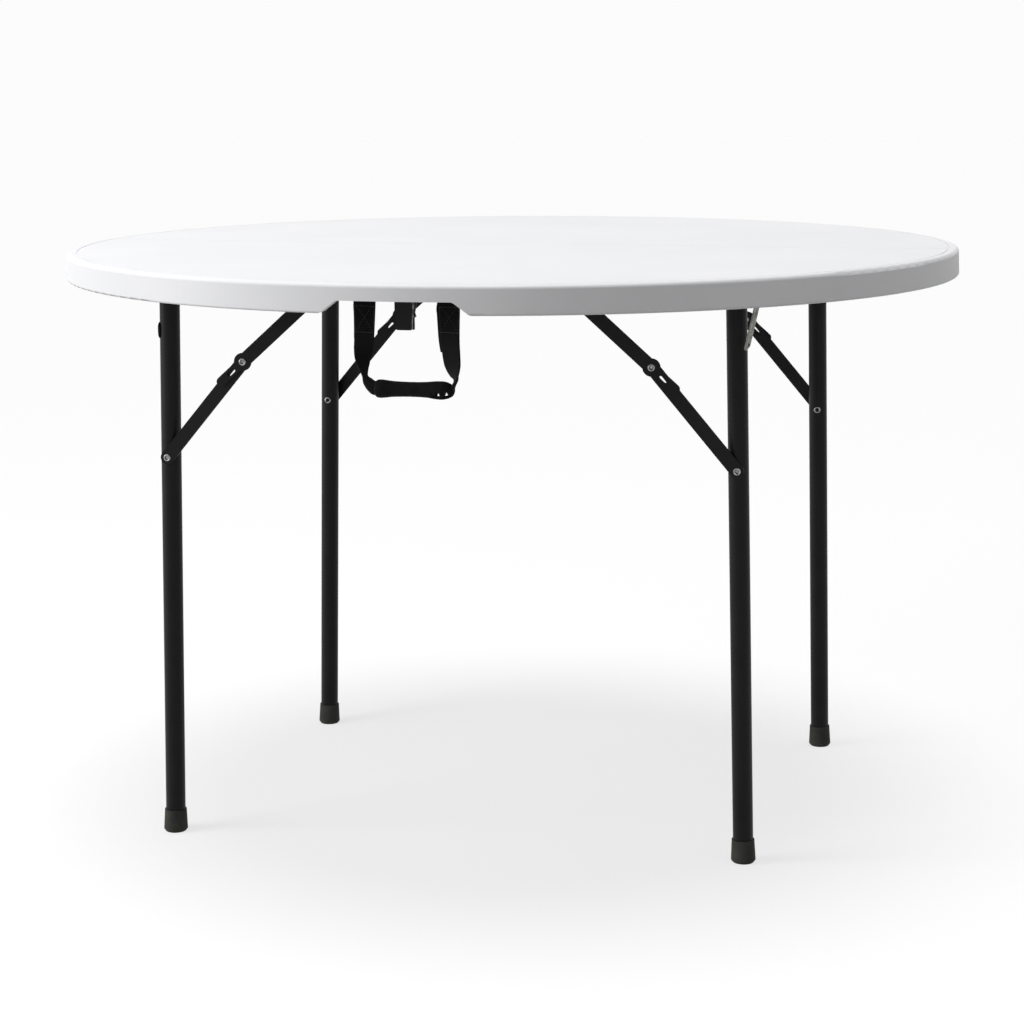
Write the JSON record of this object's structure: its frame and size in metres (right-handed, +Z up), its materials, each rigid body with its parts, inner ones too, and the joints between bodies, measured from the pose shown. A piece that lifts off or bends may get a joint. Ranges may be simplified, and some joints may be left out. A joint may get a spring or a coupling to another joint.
{
  "type": "round folding table",
  "caption": "Round white table that folds in half on double-pivot seam hinges, with swing-in tube legs, two-link braces, a webbing carry handle and a latch.",
  "frame": {"origin": "on the floor under the middle of the round top", "axes": "+Z up, fold line along X, carry handle at -Y"},
  "size_m": [1.1498, 1.1488, 0.74],
  "materials": {
    "white_top": "fine grain white moulded top",
    "black_paint": "matte black powder coat",
    "black_rubber": "matte black",
    "zinc_steel": "bright zinc plate",
    "black_plastic": "matte black",
    "black_webbing": "woven webbing",
    "black_grip": "padded sleeve"
  },
  "bodies": {
    "front_half": {"top_half_front": "white_top", "leg_pins_front": "zinc_steel", "anchor_rivets_front": "zinc_steel", "seam_brackets_front": "black_paint", "seam_pins_front": "zinc_steel", "screws_front": "zinc_steel", "keeper_saddle_front": "black_plastic", "leg_bracket_fl": "black_paint", "leg_bracket_fr": "black_paint", "brace_anchor_fl": "black_paint", "brace_anchor_fr": "black_paint", "latch_plate": "black_paint", "latch_strip": "zinc_steel", "handle_anchor": "zinc_steel"},
    "hinge_links": {"hinge_link_left": "black_paint", "hinge_link_right": "black_paint"},
    "back_half": {"top_half_back": "white_top", "leg_pins_back": "zinc_steel", "anchor_rivets_back": "zinc_steel", "seam_brackets_back": "black_paint", "seam_pins_back": "zinc_steel", "screws_back": "zinc_steel", "keeper_saddle_back": "black_plastic", "leg_bracket_bl": "black_paint", "leg_bracket_br": "black_paint", "brace_anchor_bl": "black_paint", "brace_anchor_br": "black_paint", "latch_catch": "black_plastic"},
    "leg_fl": {"leg_tube_fl": "black_paint", "foot_cap_fl": "black_rubber", "brace_rivet_fl": "zinc_steel", "leg_pad_fl": "black_rubber"},
    "lower_link_fl": {"lower_link_fl": "black_paint"},
    "upper_link_fl": {"upper_link_fl": "black_paint", "knee_rivet_fl": "zinc_steel"},
    "leg_fr": {"leg_tube_fr": "black_paint", "foot_cap_fr": "black_rubber", "brace_rivet_fr": "zinc_steel"},
    "lower_link_fr": {"lower_link_fr": "black_paint"},
    "upper_link_fr": {"upper_link_fr": "black_paint", "knee_rivet_fr": "zinc_steel"},
    "leg_bl": {"leg_tube_bl": "black_paint", "foot_cap_bl": "black_rubber", "brace_rivet_bl": "zinc_steel"},
    "lower_link_bl": {"lower_link_bl": "black_paint"},
    "upper_link_bl": {"upper_link_bl": "black_paint", "knee_rivet_bl": "zinc_steel"},
    "leg_br": {"leg_tube_br": "black_paint", "foot_cap_br": "black_rubber", "brace_rivet_br": "zinc_steel", "leg_pad_br": "black_rubber"},
    "lower_link_br": {"lower_link_br": "black_paint"},
    "upper_link_br": {"upper_link_br": "black_paint", "knee_rivet_br": "zinc_steel"},
    "handle": {"handle_strap_left": "black_webbing", "handle_strap_right": "black_webbing", "handle_grip": "black_grip"},
    "keeper_front": {"keeper_wire_front": "zinc_steel"},
    "keeper_back": {"keeper_wire_back": "zinc_steel"}
  },
  "joints": [
    {"name": "front_hinge", "type": "hinge", "parent": "front_half", "child": "hinge_links", "pos_m": [0, -0.012, 0.709], "axis": [-1, 0, 0], "range_deg": [0, 90]},
    {"name": "back_hinge", "type": "hinge", "parent": "hinge_links", "child": "back_half", "pos_m": [0, 0.012, 0.709], "axis": [-1, 0, 0], "range_deg": [0, 90]},
    {"name": "leg_fold_fl", "type": "hinge", "parent": "front_half", "child": "leg_fl", "pos_m": [-0.372, -0.272, 0.714], "axis": [0, -1, 0], "range_deg": [0, 91.44]},
    {"name": "brace_foot_fl", "type": "hinge", "parent": "leg_fl", "child": "lower_link_fl", "pos_m": [-0.37758, -0.272, 0.49207], "axis": [0, -1, 0], "range_deg": [0, 38.74]},
    {"name": "brace_top_fl", "type": "hinge", "parent": "front_half", "child": "upper_link_fl", "pos_m": [-0.166, -0.272, 0.711], "axis": [0, 1, 0], "range_deg": [0, 42.9]},
    {"name": "leg_fold_fr", "type": "hinge", "parent": "front_half", "child": "leg_fr", "pos_m": [0.325, -0.237, 0.714], "axis": [0, 1, 0], "range_deg": [0, 91.44]},
    {"name": "brace_foot_fr", "type": "hinge", "parent": "leg_fr", "child": "lower_link_fr", "pos_m": [0.33058, -0.237, 0.49207], "axis": [0, 1, 0], "range_deg": [0, 38.74]},
    {"name": "brace_top_fr", "type": "hinge", "parent": "front_half", "child": "upper_link_fr", "pos_m": [0.119, -0.237, 0.711], "axis": [0, -1, 0], "range_deg": [0, 42.9]},
    {"name": "leg_fold_br", "type": "hinge", "parent": "back_half", "child": "leg_br", "pos_m": [0.372, 0.272, 0.714], "axis": [0, 1, 0], "range_deg": [0, 91.44]},
    {"name": "brace_foot_br", "type": "hinge", "parent": "leg_br", "child": "lower_link_br", "pos_m": [0.37758, 0.272, 0.49207], "axis": [0, 1, 0], "range_deg": [0, 38.74]},
    {"name": "brace_top_br", "type": "hinge", "parent": "back_half", "child": "upper_link_br", "pos_m": [0.166, 0.272, 0.711], "axis": [0, -1, 0], "range_deg": [0, 42.9]},
    {"name": "leg_fold_bl", "type": "hinge", "parent": "back_half", "child": "leg_bl", "pos_m": [-0.325, 0.237, 0.714], "axis": [0, -1, 0], "range_deg": [0, 91.44]},
    {"name": "brace_foot_bl", "type": "hinge", "parent": "leg_bl", "child": "lower_link_bl", "pos_m": [-0.33058, 0.237, 0.49207], "axis": [0, -1, 0], "range_deg": [0, 38.74]},
    {"name": "brace_top_bl", "type": "hinge", "parent": "back_half", "child": "upper_link_bl", "pos_m": [-0.119, 0.237, 0.711], "axis": [0, 1, 0], "range_deg": [0, 42.9]},
    {"name": "handle_swing", "type": "hinge", "parent": "front_half", "child": "handle", "pos_m": [0, -0.52, 0.725], "axis": [-1, 0, 0], "range_deg": [0, 74]},
    {"name": "keeper_swing_front", "type": "hinge", "parent": "front_half", "child": "keeper_front", "pos_m": [0.361, -0.272, 0.725], "axis": [0, -1, 0], "range_deg": [0, 100]},
    {"name": "keeper_swing_back", "type": "hinge", "parent": "back_half", "child": "keeper_back", "pos_m": [-0.361, 0.272, 0.725], "axis": [0, 1, 0], "range_deg": [0, 100]}
  ],
  "couplings": [
    {"joint": "leg_fold_fl", "follows": "front_hinge", "ratio": 1.016},
    {"joint": "brace_foot_fl", "follows": "front_hinge", "ratio": 0.43049},
    {"joint": "brace_top_fl", "follows": "front_hinge", "ratio": 0.47672},
    {"joint": "leg_fold_fr", "follows": "front_hinge", "ratio": 1.016},
    {"joint": "brace_foot_fr", "follows": "front_hinge", "ratio": 0.43049},
    {"joint": "brace_top_fr", "follows": "front_hinge", "ratio": 0.47672},
    {"joint": "leg_fold_br", "follows": "front_hinge", "ratio": 1.016},
    {"joint": "brace_foot_br", "follows": "front_hinge", "ratio": 0.43049},
    {"joint": "brace_top_br", "follows": "front_hinge", "ratio": 0.47672},
    {"joint": "leg_fold_bl", "follows": "front_hinge", "ratio": 1.016},
    {"joint": "brace_foot_bl", "follows": "front_hinge", "ratio": 0.43049},
    {"joint": "brace_top_bl", "follows": "front_hinge", "ratio": 0.47672},
    {"joint": "handle_swing", "follows": "front_hinge", "ratio": 0.82222},
    {"joint": "keeper_swing_front", "follows": "front_hinge", "ratio": 1.1111},
    {"joint": "keeper_swing_back", "follows": "front_hinge", "ratio": 1.1111}
  ]
}
